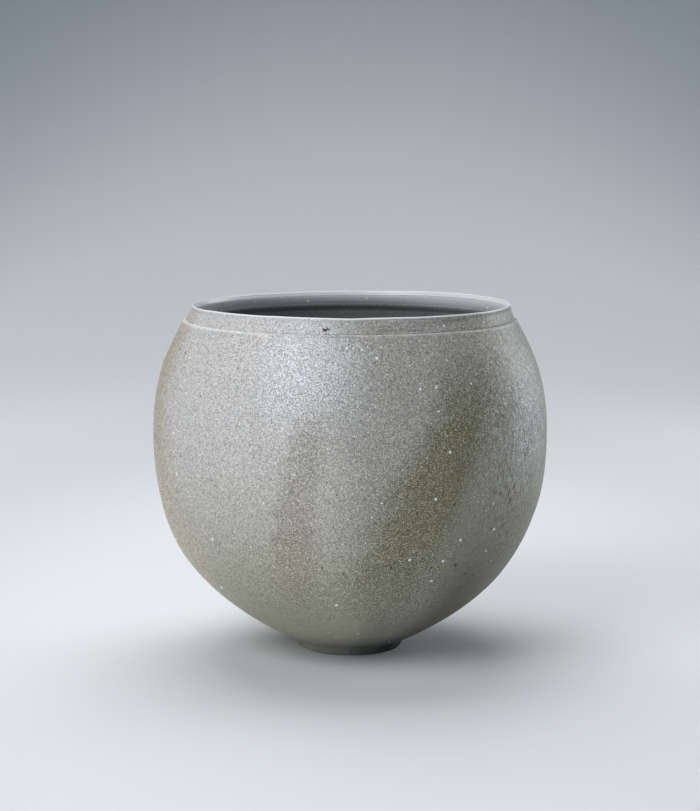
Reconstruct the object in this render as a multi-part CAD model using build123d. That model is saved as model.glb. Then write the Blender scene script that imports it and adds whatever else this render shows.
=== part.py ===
from build123d import *
import math
import os

os.makedirs("parts", exist_ok=True)

# A wide-mouthed stoneware jar, luted together from thrown pieces.
# Two bowls meet rim to rim at the belly. A turned foot ring carries the lower bowl, and a
# low collar with a thin lip stands on the shoulder of the upper one. A film of clay slip
# fills each luted joint. Sizes are in millimetres, heights are above the ground, and every
# piece is turned around the Z axis.

# Outside of the jar
BELLY_RADIUS = 200.0
BELLY_HEIGHT = 220.0
SHOULDER_HEIGHT = 337.5
SHOULDER_ROUNDING = 0.8
LEDGE_WIDTH = 2.3  # how far the shoulder's edge stands out past the collar
COLLAR_BASE_RADIUS = 166.2
COLLAR_HEIGHT = 10.0
COLLAR_INSET = 3.8  # how far the collar leans in over its height
COLLAR_HOLLOW = 0.5  # how far the collar's outer face dips in between its ends
LIP_HEIGHT = 4.5

# Foot
FOOT_RADIUS = 56.5
FOOT_HEIGHT = 8.5
FOOT_CREASE = 0.8  # how far the top of the ring stands back under the bowl
FOOT_BASE_RADIUS = 51.5
FOOT_BASE_WIDTH = 9.0
FOOT_ROOT_WIDTH = 15.0
FOOT_ROUNDING = 1.5
HOLLOW_RISE = 1.2  # doming of the bowl's underside inside the ring

# Walls
FLOOR_THICKNESS = 7.0
BELLY_WALL = 7.0
COLLAR_WALL = 5.5
LIP_WALL = 3.2

# Luted joints
SLIP_FILM = 1.0
SEAM_BEVEL = 30.0  # degrees that the belly joint falls inward
BEAD_HEIGHT = 10.0  # slip wiped over the belly joint inside the jar
BEAD_DEPTH = 1.8
BEAD_MARGIN = 1.0  # upright wall left above and below the bead

# Slopes are in degrees above level. A swell is the length of a curve's end tangent as a
# share of its chord.
FOOT_SLOPE = 25.6
FLOOR_SLOPE = 14.0
UPRIGHT = 90.0
SHOULDER_SLOPE = 115.8  # past upright, because the wall leans inward there
LOWER_FOOT_SWELL = 0.477
LOWER_BELLY_SWELL = 0.362
UPPER_BELLY_SWELL = 0.545
UPPER_SHOULDER_SWELL = 0.245
INSIDE_FLOOR_SWELL = 0.15
INSIDE_BELLY_SWELL = 0.56
COLLAR_SWELL = 0.33

# Heights and radii that several pieces share
FOOT_TOP = FOOT_HEIGHT - SLIP_FILM
FOOT_TOP_RADIUS = FOOT_RADIUS - FOOT_CREASE
HOLLOW_RADIUS = FOOT_TOP_RADIUS - FOOT_ROOT_WIDTH
BELLY_INNER_RADIUS = BELLY_RADIUS - BELLY_WALL
LOWER_RIM = BELLY_HEIGHT - SLIP_FILM / 2
UPPER_RIM = BELLY_HEIGHT + SLIP_FILM / 2
SEAM_DROP = BELLY_WALL * math.tan(math.radians(SEAM_BEVEL))
SEAM_INNER_HEIGHT = BELLY_HEIGHT - SEAM_DROP
BEAD_BOTTOM = SEAM_INNER_HEIGHT - BEAD_HEIGHT / 2
BEAD_TOP = SEAM_INNER_HEIGHT + BEAD_HEIGHT / 2
COLLAR_BOTTOM = SHOULDER_HEIGHT + SLIP_FILM
COLLAR_TOP = COLLAR_BOTTOM + COLLAR_HEIGHT
SHOULDER_RADIUS = COLLAR_BASE_RADIUS + LEDGE_WIDTH
COLLAR_INNER_RADIUS = COLLAR_BASE_RADIUS - COLLAR_WALL
LIP_RADIUS = COLLAR_BASE_RADIUS - COLLAR_INSET
LIP_INNER_RADIUS = LIP_RADIUS - LIP_WALL
JAR_HEIGHT = COLLAR_TOP + LIP_HEIGHT


def at(radius, height):
    return Vector(radius, 0, height)


def heading(length, slope):
    """A step of the given length, climbing outward at the given slope."""
    angle = math.radians(slope)
    return at(length * math.cos(angle), length * math.sin(angle))


def swelling(start, start_slope, start_swell, end, end_slope, end_swell):
    """The curve that leaves one point and reaches the other at the given slopes."""
    chord = (end - start).length
    leaving = start + heading(chord * start_swell, start_slope)
    arriving = end - heading(chord * end_swell, end_slope)
    return Bezier(start, leaving, arriving, end)


def dish(centre_height, edge_radius, edge_height):
    """An arc that lies level on the axis and runs out to an edge."""
    return TangentArc(at(0, centre_height), at(edge_radius, edge_height), tangent=(1, 0, 0))


def turned(outline):
    return revolve(outline, Axis.Z)


def make_foot_ring():
    """The turned ring that the jar stands on, narrower at the ground than at its root."""
    outer_base = at(FOOT_BASE_RADIUS, 0)
    inner_base = at(FOOT_BASE_RADIUS - FOOT_BASE_WIDTH, 0)
    sides = Polyline(
        at(HOLLOW_RADIUS, FOOT_TOP), inner_base, outer_base, at(FOOT_TOP_RADIUS, FOOT_TOP), close=True
    )
    outline = make_face(sides)
    ground_corners = outline.vertices().sort_by(Axis.Z)[:2]
    return turned(fillet(ground_corners, FOOT_ROUNDING))


def make_foot_slip():
    """The flat film between the foot ring and the underside of the bowl."""
    ring = Polyline(
        at(HOLLOW_RADIUS, FOOT_TOP),
        at(FOOT_TOP_RADIUS, FOOT_TOP),
        at(FOOT_TOP_RADIUS, FOOT_HEIGHT),
        at(HOLLOW_RADIUS, FOOT_HEIGHT),
        close=True,
    )
    return turned(make_face(ring))


def make_lower_bowl():
    """The bowl from the foot to the belly, with a dished floor and a bevelled rim."""
    hollow_top = FOOT_HEIGHT + HOLLOW_RISE
    floor = hollow_top + FLOOR_THICKNESS
    floor_edge = at(FOOT_RADIUS, floor + FOOT_RADIUS * math.tan(math.radians(FLOOR_SLOPE / 2)))
    foot_edge = at(FOOT_RADIUS, FOOT_HEIGHT)
    rim_edge = at(BELLY_RADIUS, LOWER_RIM)
    seam_edge = at(BELLY_INNER_RADIUS, LOWER_RIM - SEAM_DROP)
    band_edge = at(BELLY_INNER_RADIUS, BEAD_BOTTOM - BEAD_MARGIN)
    outside = swelling(foot_edge, FOOT_SLOPE, LOWER_FOOT_SWELL, rim_edge, UPRIGHT, LOWER_BELLY_SWELL)
    inside = swelling(floor_edge, FLOOR_SLOPE, INSIDE_FLOOR_SWELL, band_edge, UPRIGHT, INSIDE_BELLY_SWELL)
    outline = make_face(
        [
            dish(hollow_top, HOLLOW_RADIUS, FOOT_HEIGHT),
            Line(at(HOLLOW_RADIUS, FOOT_HEIGHT), foot_edge),
            outside,
            Line(rim_edge, seam_edge),
            Line(seam_edge, band_edge),
            inside,
            dish(floor, floor_edge.X, floor_edge.Z),
            Line(at(0, floor), at(0, hollow_top)),
        ]
    )
    return turned(outline)


def make_belly_slip():
    """The bevelled film between the two rims, with the bead wiped along it inside."""
    bead = ThreePointArc(
        at(BELLY_INNER_RADIUS, BEAD_TOP),
        at(BELLY_INNER_RADIUS - BEAD_DEPTH, SEAM_INNER_HEIGHT),
        at(BELLY_INNER_RADIUS, BEAD_BOTTOM),
    )
    film = Polyline(
        at(BELLY_INNER_RADIUS, BEAD_BOTTOM),
        at(BELLY_INNER_RADIUS, LOWER_RIM - SEAM_DROP),
        at(BELLY_RADIUS, LOWER_RIM),
        at(BELLY_RADIUS, UPPER_RIM),
        at(BELLY_INNER_RADIUS, UPPER_RIM - SEAM_DROP),
        at(BELLY_INNER_RADIUS, BEAD_TOP),
    )
    return turned(make_face([bead, *film.edges()]))


def make_upper_bowl():
    """The bowl from the belly to the shoulder, with a flat ledge that carries the collar."""
    rim_edge = at(BELLY_RADIUS, UPPER_RIM)
    seam_edge = at(BELLY_INNER_RADIUS, UPPER_RIM - SEAM_DROP)
    band_edge = at(BELLY_INNER_RADIUS, BEAD_TOP + BEAD_MARGIN)
    shoulder_edge = at(SHOULDER_RADIUS, SHOULDER_HEIGHT)
    mouth_edge = at(COLLAR_INNER_RADIUS, SHOULDER_HEIGHT)
    outside = swelling(
        rim_edge, UPRIGHT, UPPER_BELLY_SWELL, shoulder_edge, SHOULDER_SLOPE, UPPER_SHOULDER_SWELL
    )
    inside = swelling(
        band_edge, UPRIGHT, UPPER_BELLY_SWELL, mouth_edge, SHOULDER_SLOPE, UPPER_SHOULDER_SWELL
    )
    outline = make_face(
        [
            outside,
            Line(shoulder_edge, mouth_edge),
            inside,
            Line(band_edge, seam_edge),
            Line(seam_edge, rim_edge),
        ]
    )
    shoulder_corner = outline.vertices().sort_by_distance(shoulder_edge)[0]
    return turned(fillet(shoulder_corner, SHOULDER_ROUNDING))


def make_collar_slip():
    """The flat film between the shoulder ledge and the collar."""
    ring = Polyline(
        at(COLLAR_INNER_RADIUS, SHOULDER_HEIGHT),
        at(COLLAR_BASE_RADIUS, SHOULDER_HEIGHT),
        at(COLLAR_BASE_RADIUS, COLLAR_BOTTOM),
        at(COLLAR_INNER_RADIUS, COLLAR_BOTTOM),
        close=True,
    )
    return turned(make_face(ring))


def make_collar():
    """The low band above the shoulder, hollow outside, that curves upright inside."""
    outer_base = at(COLLAR_BASE_RADIUS, COLLAR_BOTTOM)
    outer_top = at(LIP_RADIUS, COLLAR_TOP)
    inner_top = at(LIP_INNER_RADIUS, COLLAR_TOP)
    inner_base = at(COLLAR_INNER_RADIUS, COLLAR_BOTTOM)
    hollow_middle = (outer_base + outer_top) / 2 - at(COLLAR_HOLLOW, 0)
    outline = make_face(
        [
            ThreePointArc(outer_base, hollow_middle, outer_top),
            Line(outer_top, inner_top),
            swelling(inner_base, SHOULDER_SLOPE, COLLAR_SWELL, inner_top, UPRIGHT, COLLAR_SWELL),
            Line(inner_base, outer_base),
        ]
    )
    return turned(outline)


def make_lip():
    """The thin strip along the top of the collar, rounded over the top."""
    crown_height = JAR_HEIGHT - LIP_WALL / 2
    outer_base = at(LIP_RADIUS, COLLAR_TOP)
    inner_base = at(LIP_INNER_RADIUS, COLLAR_TOP)
    outer_crown = at(LIP_RADIUS, crown_height)
    inner_crown = at(LIP_INNER_RADIUS, crown_height)
    crown = ThreePointArc(outer_crown, at(LIP_RADIUS - LIP_WALL / 2, JAR_HEIGHT), inner_crown)
    outline = make_face(
        [
            Line(inner_base, outer_base),
            Line(outer_base, outer_crown),
            crown,
            Line(inner_crown, inner_base),
        ]
    )
    return turned(outline)


PIECES = {
    "foot_ring": make_foot_ring,
    "foot_slip": make_foot_slip,
    "lower_bowl": make_lower_bowl,
    "belly_slip": make_belly_slip,
    "upper_bowl": make_upper_bowl,
    "collar_slip": make_collar_slip,
    "collar": make_collar,
    "lip": make_lip,
}

for name, make in PIECES.items():
    piece = make()
    piece.label = name
    export_step(piece, f"parts/{name}.step")
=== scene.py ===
"""A wide-mouthed stoneware jar, turned over its CAD frame and set on a studio floor.

The jar's outline is the CAD model's. What is added here is what the potter's hands and the
kiln did to it: an uneven lip, soft lumps, scraped furrows, runs of ash, a granular crust,
white feldspar grains and dark iron spots. Some highlights, a reflection and some shade are
painted into the colours as well. Lengths are in metres.

Azimuth is the angle around the jar: 0 at the front, which faces -Y, and positive to the right.
"""

import math
import random
from collections import namedtuple

import bpy
from bpy.props import FloatProperty, FloatVectorProperty, IntProperty, PointerProperty
from mathutils import Euler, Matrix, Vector
from mathutils.bvhtree import BVHTree
from mathutils.geometry import interpolate_bezier


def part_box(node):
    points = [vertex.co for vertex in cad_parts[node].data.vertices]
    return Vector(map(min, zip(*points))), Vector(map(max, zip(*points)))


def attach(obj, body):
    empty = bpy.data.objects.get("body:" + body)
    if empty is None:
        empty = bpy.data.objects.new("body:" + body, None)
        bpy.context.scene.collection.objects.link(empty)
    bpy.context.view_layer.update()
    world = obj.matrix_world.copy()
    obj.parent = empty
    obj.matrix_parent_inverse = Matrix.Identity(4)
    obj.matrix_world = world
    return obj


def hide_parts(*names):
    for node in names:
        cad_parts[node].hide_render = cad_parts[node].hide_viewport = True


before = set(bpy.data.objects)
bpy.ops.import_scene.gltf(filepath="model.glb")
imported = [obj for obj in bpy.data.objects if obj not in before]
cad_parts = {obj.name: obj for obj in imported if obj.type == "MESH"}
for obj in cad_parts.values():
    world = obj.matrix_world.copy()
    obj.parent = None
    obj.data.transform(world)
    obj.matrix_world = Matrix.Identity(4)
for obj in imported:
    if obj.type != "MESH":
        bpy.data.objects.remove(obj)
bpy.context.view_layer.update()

bl_info = {
    "name": "Stoneware Jar",
    "version": (1, 0, 0),
    "blender": (4, 5, 0),
    "location": "View3D > Sidebar > Jar",
    "description": "Turns an ash-crusted stoneware jar and sets it on a studio floor",
    "category": "Object",
}

MM = 0.001
DEGREE = math.radians(1)
UPRIGHT = 90 * DEGREE
HALF_TURN = math.pi
FULL_TURN = 2 * math.pi


# Sizes, colours and light that a user would change


def top_of(node):
    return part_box(node)[1].z


def bottom_of(node):
    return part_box(node)[0].z


def radius_of(node):
    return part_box(node)[1].x


def length(name, description, default):
    limits = {"min": 0.0, "unit": "LENGTH", "precision": 5}
    return FloatProperty(name=name, description=description, default=default, **limits)


def angle(name, description, degrees):
    return FloatProperty(name=name, description=description, default=degrees * DEGREE, subtype="ANGLE")


def share(name, description, default):
    limits = {"min": 0.0, "max": 1.0, "subtype": "FACTOR"}
    return FloatProperty(name=name, description=description, default=default, **limits)


def colour(name, description, default):
    limits = {"min": 0.0, "max": 1.0, "subtype": "COLOR"}
    return FloatVectorProperty(name=name, description=description, default=default, **limits)


def power(name, description, default):
    return FloatProperty(name=name, description=description, default=default, min=0.0, unit="POWER")


def count(name, description, default):
    return IntProperty(name=name, description=description, default=default, min=0)


class JarShape(bpy.types.PropertyGroup):
    """The jar's outline, read from the CAD frame where a node shows it."""

    belly_radius: length("Belly radius", "Widest radius of the jar", radius_of("lower_bowl"))
    lower_rim: length("Lower rim", "Height of the lower bowl's rim", top_of("lower_bowl"))
    shoulder_height: length("Shoulder height", "Height of the collar's ledge", top_of("upper_bowl"))
    ledge_width: length("Ledge width", "How far the shoulder stands out past the collar", 2.3 * MM)
    shoulder_rounding: length("Shoulder rounding", "Radius of the shoulder's edge", 0.8 * MM)
    collar_radius: length("Collar radius", "Outer radius of the collar's foot", radius_of("collar"))
    collar_bottom: length("Collar bottom", "Height of the collar's foot", bottom_of("collar"))
    collar_top: length("Collar top", "Height where the lip starts", top_of("collar"))
    collar_hollow: length("Collar hollow", "Dip of the collar's outer face", 0.5 * MM)
    collar_wall: length("Collar wall", "Thickness of the collar's foot", 5.5 * MM)
    lip_radius: length("Lip radius", "Outer radius of the lip", radius_of("lip"))
    lip_top: length("Lip top", "Height of the jar", top_of("lip"))
    lip_wall: length("Lip wall", "Thickness of the lip", 3.2 * MM)
    lip_bevel: length("Lip bevel", "How much thinner the lip is at the top", 1.4 * MM)
    belly_wall: length("Belly wall", "Thickness of the wall at the belly", 7 * MM)
    floor_thickness: length("Floor thickness", "Thickness of the bowl's floor", 7 * MM)
    foot_top: length("Foot top", "Height of the foot ring", top_of("foot_ring"))
    foot_height: length("Foot height", "Height where the bowl starts", top_of("foot_slip"))
    foot_top_radius: length("Foot radius", "Outer radius of the ring's top", radius_of("foot_ring"))
    foot_crease: length("Foot crease", "How far the ring stands back under the bowl", 0.8 * MM)
    foot_base_radius: length("Foot base radius", "Outer radius on the ground", 51.5 * MM)
    foot_base_width: length("Foot base width", "Width of the foot on the ground", 9 * MM)
    foot_root_width: length("Foot root width", "Width of the foot under the bowl", 15 * MM)
    foot_rounding: length("Foot rounding", "Radius of the foot's lower edges", 1.5 * MM)
    hollow_rise: length("Hollow rise", "Doming of the underside inside the foot", 1.2 * MM)
    bead_height: length("Bead height", "Height of the slip wiped over the joint inside", 10 * MM)
    bead_depth: length("Bead depth", "How far that slip stands out", 1.8 * MM)
    bead_margin: length("Bead margin", "Upright wall above and below that slip", 1 * MM)
    seam_bevel: angle("Seam bevel", "How steeply the belly joint falls inward", 30)
    foot_slope: angle("Foot slope", "Slope of the wall where it leaves the foot", 25.6)
    floor_slope: angle("Floor slope", "Slope of the floor where it meets the wall", 14)
    shoulder_slope: angle("Shoulder slope", "Slope of the wall at the shoulder, past upright", 115.8)

    @property
    def upper_rim(self):
        return self.lower_rim + self.collar_bottom - self.shoulder_height

    @property
    def shoulder_radius(self):
        return self.collar_radius + self.ledge_width

    @property
    def collar_inner_radius(self):
        return self.collar_radius - self.collar_wall

    @property
    def lip_inner_radius(self):
        return self.lip_radius - self.lip_wall

    @property
    def belly_inner_radius(self):
        return self.belly_radius - self.belly_wall

    @property
    def seam_drop(self):
        return self.belly_wall * math.tan(self.seam_bevel)

    @property
    def bead_middle(self):
        return (self.lower_rim + self.upper_rim) / 2 - self.seam_drop

    @property
    def foot_radius(self):
        return self.foot_top_radius + self.foot_crease

    @property
    def hollow_radius(self):
        return self.foot_top_radius - self.foot_root_width


class ClaySurface(bpy.types.PropertyGroup):
    """What hands, tools and fire did to the surface."""

    segments: count("Segments", "Steps around the jar", 512)
    outer_step: length("Outer step", "Spacing of the rings of points outside", 2.6 * MM)
    inner_step: length("Inner step", "Spacing of the rings of points inside", 7 * MM)
    edge_step: length("Edge step", "Spacing of the rings of points along edges", 0.5 * MM)
    lump_size: length("Lump size", "Distance between soft lumps in the wall", 70 * MM)
    lump_height: length("Lump height", "How far the lumps stand out", 0.6 * MM)
    dent_size: length("Dent size", "Width of the small dents left by the beater", 16 * MM)
    dent_depth: length("Dent depth", "Depth of the small dents", 0.12 * MM)
    furrow_width: length("Furrow width", "Distance between scraped furrows", 7 * MM)
    furrow_depth: length("Furrow depth", "Depth of the scraped furrows", 0.22 * MM)
    ring_pitch: length("Ring pitch", "Distance between throwing rings inside", 9 * MM)
    ring_depth: length("Ring depth", "Depth of the throwing rings inside", 0.12 * MM)
    lip_waver: length("Lip waver", "How far the lip rises and falls", 0.7 * MM)
    lip_tilt: length("Lip tilt", "How far the lip leans down to the back left", 0.9 * MM)
    lip_sag: length("Lip sag", "How far the lip sank in the kiln", 0.5 * MM)
    lip_twist: length("Lip twist", "How far the lip rises at front left and back right", 0.6 * MM)
    lip_pinch: length("Lip pinch", "How far the lip is pressed in on the left", 2.0 * MM)
    sway: length("Sway", "How far the lower wall leans to the left", 1.2 * MM)
    grain_size: length("Crust grain", "Size of the grains of the ash crust", 0.55 * MM)
    cream_share: share("Cream share", "How strongly pale grains of the crust show", 0.8)
    char_share: share("Char share", "How strongly dark grains of the crust show", 0.85)
    crust_depth: length("Crust depth", "Relief of the ash crust", 0.06 * MM)
    feldspar_count: count("Feldspar grains", "White grains scattered over the jar", 110)
    iron_count: count("Iron spots", "Dark spots scattered over the jar", 70)
    seed: count("Seed", "Start of every random draw", 7)


class ClayColours(bpy.types.PropertyGroup):
    """The colours of the fired clay, the ash, the grains and the paper, and the painted highlight,
    reflection and shade.
    """

    lilac_grey: colour("Lilac grey", "Thin ash on the side turned to the fire", (0.72, 0.692, 0.688))
    slate_grey: colour("Slate grey", "Thin ash between the two sides", (0.405, 0.395, 0.365))
    dusk_grey: colour("Dusk grey", "Thin ash on the lee side", (0.325, 0.315, 0.262))
    lower_ash: colour("Lower ash", "Tint of the ash low on the wall", (0.56, 0.55, 0.41))
    lee_shade: colour("Lee shade", "Tint of the smooth clay low on the lee side", (0.57, 0.57, 0.51))
    olive: colour("Olive", "Thick runs of ash", (0.195, 0.178, 0.092))
    umber: colour("Umber", "Thin warm runs of ash", (0.31, 0.265, 0.195))
    ochre: colour("Ochre", "Warm flash where the flame licked the wall", (0.54, 0.45, 0.325))
    # Painted reflection: the bluish sheen of the lights behind, painted on the jar's right edge.
    edge_reflection: colour("Haze", "Bluish bloom on the lee side", (0.53, 0.53, 0.51))
    # Painted highlight: the bluish white sheen of the key light on the shoulder, also used as painted
    # sheen inside the back of the lip.
    sheen: colour("Bloom", "Bluish white bloom on the shoulder", (0.88, 0.89, 0.94))
    # Partly the foot's own greenish clay, partly painted shade: it darkens the foot, most on the side
    # away from the key light.
    foot_green_and_shade: colour("Foot green", "Tint of the smooth clay of the foot", (0.18, 0.28, 0.35))
    # Partly pale worn clay, partly a painted highlight where the lip and the ledge catch the light.
    worn_and_lit: colour("Worn edge", "Pale clay on the lip and the ledge", (0.97, 0.965, 0.955))
    inside: colour("Inside", "Clay inside the jar", (0.23, 0.255, 0.25))
    cream: colour("Cream", "Pale grains of the ash crust", (0.8, 0.77, 0.67))
    char: colour("Char", "Dark grains of the ash crust", (0.12, 0.115, 0.095))
    feldspar: colour("Feldspar", "White grains", (0.97, 0.96, 0.94))
    iron: colour("Iron", "Dark spots and gouges", (0.05, 0.045, 0.04))
    paper_floor: colour("Paper floor", "The pale part of the graduated paper", (0.82, 0.83, 0.84))
    paper_wall: colour("Paper wall", "The darker part of the graduated paper", (0.45, 0.49, 0.535))


class Studio(bpy.types.PropertyGroup):
    """Light and camera."""

    key_power: power("Key", "Large soft light at the front left", 42.0)
    back_power: power("Back", "Large soft light overhead behind the jar", 42.0)
    rim_power: power("Rim", "Weak gridded light behind on the right", 5.1)
    ambient: share("Ambient", "Light from all around", 0.2)
    lens: FloatProperty(name="Lens", description="Focal length", default=96.7, unit="CAMERA")
    camera_pitch: angle("Camera pitch", "How far the camera looks down", 7.8)


# Node trees

Sector = namedtuple("Sector", "middle half_width softness")


class Field:
    """A number that a node tree works out at each point, with the usual arithmetic."""

    def __init__(self, graph, socket):
        self.graph = graph
        self.socket = socket

    def __add__(self, other):
        return self.graph.math("ADD", self, other)

    def __sub__(self, other):
        return self.graph.math("SUBTRACT", self, other)

    def __rsub__(self, other):
        return self.graph.math("SUBTRACT", other, self)

    def __mul__(self, other):
        return self.graph.math("MULTIPLY", self, other)

    def __truediv__(self, other):
        return self.graph.math("DIVIDE", self, other)

    def __rtruediv__(self, other):
        return self.graph.math("DIVIDE", other, self)

    __radd__ = __add__
    __rmul__ = __mul__


class Graph:
    """Adds nodes to a tree and links them, for materials and for Geometry Nodes alike."""

    MIDDLE_DRAW = 0.5
    NOISE_SPREAD = 3.0

    def __init__(self, tree):
        self.tree = tree

    def feed(self, socket, value):
        if isinstance(value, Field):
            self.tree.links.new(value.socket, socket)
        else:
            socket.default_value = value

    def node(self, kind, inputs=None, **settings):
        node = self.tree.nodes.new(kind)
        for name, value in settings.items():
            setattr(node, name, value)
        for socket, value in (inputs or {}).items():
            self.feed(node.inputs[socket], value)
        return node

    def field(self, kind, output, inputs=None, **settings):
        return Field(self, self.node(kind, inputs, **settings).outputs[output])

    def reshape(self, kind, geometry, inputs=None, **settings):
        """A step of Geometry Nodes from geometry to geometry."""
        fed = {"Geometry": geometry, **(inputs or {})}
        return self.field("GeometryNode" + kind, "Geometry", fed, **settings)

    def dress(self, geometry, material):
        """Plain geometry with its material, which is how a tree ends."""
        real = self.reshape("RealizeInstances", geometry)
        return self.reshape("SetMaterial", real, {"Material": material})

    def position(self):
        return self.field("GeometryNodeInputPosition", "Position")

    def attribute(self, name, kind="FLOAT"):
        return self.field("GeometryNodeInputNamedAttribute", "Attribute", {"Name": name}, data_type=kind)

    def math(self, operation, *values):
        return self.field("ShaderNodeMath", 0, dict(enumerate(values)), operation=operation)

    def combine(self, x, y, z):
        return self.field("ShaderNodeCombineXYZ", 0, {0: x, 1: y, 2: z})

    def separate(self, vector):
        node = self.node("ShaderNodeSeparateXYZ", {0: vector})
        return [Field(self, socket) for socket in node.outputs]

    def rise(self, value, start, end):
        """0 before start, 1 after end and smooth between them. It falls if end comes first."""
        limits = {"Value": value, "From Min": start, "From Max": end}
        return self.field("ShaderNodeMapRange", "Result", limits, interpolation_type="SMOOTHSTEP")

    def ramp(self, value, start, end, low, high):
        """A straight line from low at start to high at end, and level outside them."""
        limits = {"Value": value, "From Min": start, "From Max": end, "To Min": low, "To Max": high}
        return self.field("ShaderNodeMapRange", "Result", limits)

    def band(self, distance, half_width, softness):
        """1 up to half_width from a line, fading to 0 over softness."""
        return self.rise(self.math("ABSOLUTE", distance), half_width + softness, half_width)

    def sector(self, azimuth, stretch):
        """1 on a stretch of the way round the jar, which is given in degrees."""
        away = azimuth - stretch.middle * DEGREE
        return self.band(away, stretch.half_width * DEGREE, stretch.softness * DEGREE)

    def noise(self, vector, size, detail=2.0):
        """Soft noise of about -1 to 1."""
        inputs = {"Vector": vector, "Scale": 1 / size, "Detail": detail}
        return (self.field("ShaderNodeTexNoise", 0, inputs) - self.MIDDLE_DRAW) * self.NOISE_SPREAD

    def cells(self, vector, size):
        """Two random numbers for each grain of about that size, and the distance from its middle."""
        node = self.node("ShaderNodeTexVoronoi", {"Vector": vector, "Scale": 1 / size})
        draw, second_draw, _ = self.separate(Field(self, node.outputs["Color"]))
        return draw, second_draw, Field(self, node.outputs["Distance"])

    def mix(self, factor, first, second, blend="MIX"):
        inputs = {0: factor, 6: first, 7: second}
        return self.field("ShaderNodeMix", 2, inputs, data_type="RGBA", blend_type=blend)

    def scaled(self, vector, factor):
        inputs = {0: vector, "Scale": factor}
        return self.field("ShaderNodeVectorMath", "Vector", inputs, operation="SCALE")

    def around(self, x, y):
        """The azimuth of a point, from -pi to pi."""
        return self.math("ARCTAN2", x, 0.0 - y)


def tone(value):
    """A colour property as a shader's socket takes it."""
    return (*value, 1.0)


# Outlines

LEDGE_WEAR = 2.4 * MM
LIP_WEAR = 1.7 * MM
WEAR_FADE = 0.8 * MM
EVEN_SWELL = 1 / 3
LOWER_FOOT_SWELL = 0.477
LOWER_BELLY_SWELL = 0.362
UPPER_BELLY_SWELL = 0.545
UPPER_SHOULDER_SWELL = 0.245
INSIDE_FLOOR_SWELL = 0.15
INSIDE_BELLY_SWELL = 0.56
FOOT_EDGE_FLATNESS = 4  # how many times its bulge a rounded edge measures
SHOULDER_EDGE_FLATNESS = 5

End = namedtuple("End", "place slope swell")


def at(radius, height):
    return Vector((radius, height))


def heading(distance, slope):
    return at(distance * math.cos(slope), distance * math.sin(slope))


def steps_along(distance, step):
    return max(2, math.ceil(distance / step))


class Outline:
    """A half section that is drawn stretch by stretch, up the outside and down the inside."""

    def __init__(self, start, worn_above=math.inf, worn_beyond=0.0):
        self.here = start
        self.points = [start]
        self.inside = [0.0]
        self.side = 0.0
        self.closed = False
        self.worn_above = worn_above
        self.worn_beyond = worn_beyond

    @property
    def worn_and_lit(self):
        return [self.wear(point) for point in self.points]

    def wear(self, point):
        """The wear of a point, from 0 to 1, which also places the painted highlight on the edges."""
        height = (point.y - self.worn_above) / WEAR_FADE
        return min(max(height, 0.0), 1.0) * (point.x > self.worn_beyond)

    def add(self, stretch, end):
        """Takes up a stretch, whose first point is there already."""
        self.points.extend(stretch[1:])
        self.inside.extend([self.side] * (len(stretch) - 1))
        self.here = end

    def line(self, end, step):
        steps = steps_along((end - self.here).length, step)
        self.add([self.here.lerp(end, i / steps) for i in range(steps + 1)], end)

    def curve(self, slope, swell, end, step):
        """A curve with given slopes at its ends. A swell is a tangent's share of the chord."""
        chord = (end.place - self.here).length
        leaving = self.here + heading(chord * swell, slope)
        arriving = end.place - heading(chord * end.swell, end.slope)
        rings = steps_along(chord, step) + 1
        self.add(interpolate_bezier(self.here, leaving, arriving, end.place, rings), end.place)

    def arc(self, end, bulge, step):
        """An arc that leaves its chord by bulge, to the right of its way."""
        chord = end - self.here
        along = chord.normalized()
        right = at(along.y, -along.x)
        half = chord.length / 2
        radius = (half**2 + bulge**2) / (2 * bulge)
        centre = (self.here + end) / 2 + right * (bulge - radius)
        half_turn = 2 * math.atan2(bulge, half)
        steps = steps_along(abs(radius * half_turn) * 2, step)
        turns = [half_turn * (2 * i / steps - 1) for i in range(steps + 1)]
        ways = [right * math.cos(turn) + along * math.sin(turn) for turn in turns]
        self.add([centre + radius * way for way in ways], end)

    def turn_inside(self):
        self.side = 1.0

    def drop_last(self, number):
        del self.points[-number:]
        del self.inside[-number:]
        self.here = self.points[-1]

    def close(self):
        """Joins the last point, which is back at the start, to the first."""
        self.points.pop()
        self.inside.pop()
        self.closed = True
        return self


def foot_outline(shape, surface):
    """The ring that the jar stands on, rounded where it meets the ground."""
    edge = surface.edge_step
    step = surface.outer_step
    rounding = shape.foot_rounding
    bulge = rounding / FOOT_EDGE_FLATNESS
    outer_base = at(shape.foot_base_radius, 0)
    inner_base = at(shape.foot_base_radius - shape.foot_base_width, 0)
    outer_top = at(shape.foot_top_radius, shape.foot_top)
    inner_top = at(shape.hollow_radius, shape.foot_top)
    ground_start = inner_base + at(rounding, 0)
    section = Outline(ground_start)
    section.line(outer_base - at(rounding, 0), step)
    section.arc(outer_base + (outer_top - outer_base).normalized() * rounding, bulge, edge)
    section.line(outer_top, edge)
    section.line(inner_top, step)
    section.line(inner_base + (inner_top - inner_base).normalized() * rounding, step)
    section.arc(ground_start, bulge, edge)
    return section.close()


def film_outline(inner_radius, outer_radius, bottom, top, step):
    """A flat film of slip."""
    section = Outline(at(outer_radius, bottom))
    section.line(at(outer_radius, top), step)
    section.turn_inside()
    section.line(at(inner_radius, top), step)
    section.line(at(inner_radius, bottom), step)
    section.line(at(outer_radius, bottom), step)
    return section.close()


def foot_slip_outline(shape, surface):
    radii = shape.hollow_radius, shape.foot_top_radius
    return film_outline(*radii, shape.foot_top, shape.foot_height, surface.outer_step)


def collar_slip_outline(shape, surface):
    radii = shape.collar_inner_radius, shape.collar_radius
    return film_outline(*radii, shape.shoulder_height, shape.collar_bottom, surface.outer_step)


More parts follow.
